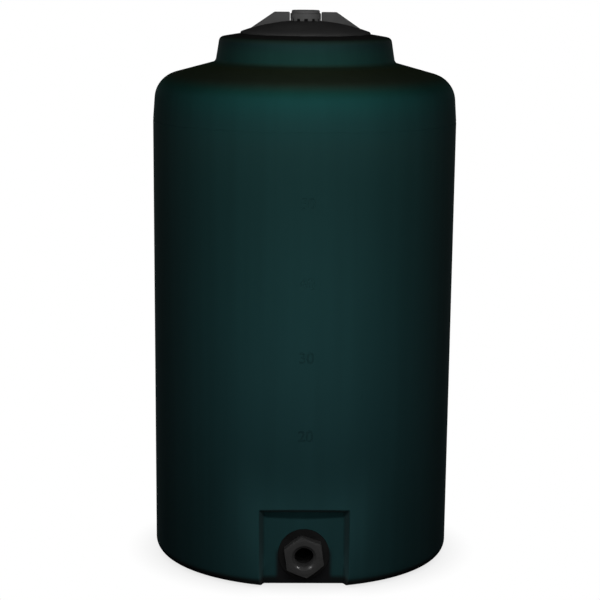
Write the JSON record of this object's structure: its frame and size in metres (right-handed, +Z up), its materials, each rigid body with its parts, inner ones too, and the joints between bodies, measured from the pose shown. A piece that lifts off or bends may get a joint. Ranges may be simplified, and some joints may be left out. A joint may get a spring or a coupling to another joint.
{
  "type": "vertical water tank",
  "caption": "Upright moulded water tank with a domed shoulder, a black screw lid with grips and a vent cap, and a threaded outlet in a flat recess at the foot.",
  "frame": {"origin": "middle of the tank's footprint, on the level floor that it stands on", "axes": "+Z up along the tank's axis, -Y out of the front through the outlet, +X to the right of a person facing it"},
  "size_m": [0.583, 0.583, 1.0607],
  "materials": {
    "shell": "dark green moulded polyethylene, satin",
    "fittings": "black moulded polypropylene, satin",
    "seals": "black rubber"
  },
  "bodies": {
    "tank": {"tank_floor": "shell", "heel_front_left": "shell", "heel_left": "shell", "heel_back_left": "shell", "heel_back": "shell", "heel_back_right": "shell", "heel_right": "shell", "heel_front_right": "shell", "wall_front": "shell", "wall_front_left": "shell", "wall_left": "shell", "wall_back_left": "shell", "wall_back": "shell", "wall_back_right": "shell", "wall_right": "shell", "wall_front_right": "shell", "outlet_panel": "shell", "recess_cheek_left": "shell", "recess_cheek_right": "shell", "recess_ledge": "shell", "shoulder": "shell", "roof": "shell", "neck": "shell", "neck_rim": "shell", "filler_ring": "fittings", "outlet_fitting": "fittings", "outlet_nut": "fittings", "outlet_gasket": "seals", "outlet_washer": "seals"},
    "lid_gasket": {"lid_gasket": "seals"},
    "lid": {"lid": "fittings", "vent_cap": "fittings"}
  },
  "joints": [
    {"name": "lid_turn", "type": "hinge", "parent": "tank", "child": "lid_gasket", "pos_m": [0, 0, 1.016], "axis": [0, 0, 1], "range_deg": [0, 450]},
    {"name": "lid_lift", "type": "slide", "parent": "lid_gasket", "child": "lid", "axis": [0, 0, 1], "range_m": [0, 0.2]}
  ]
}
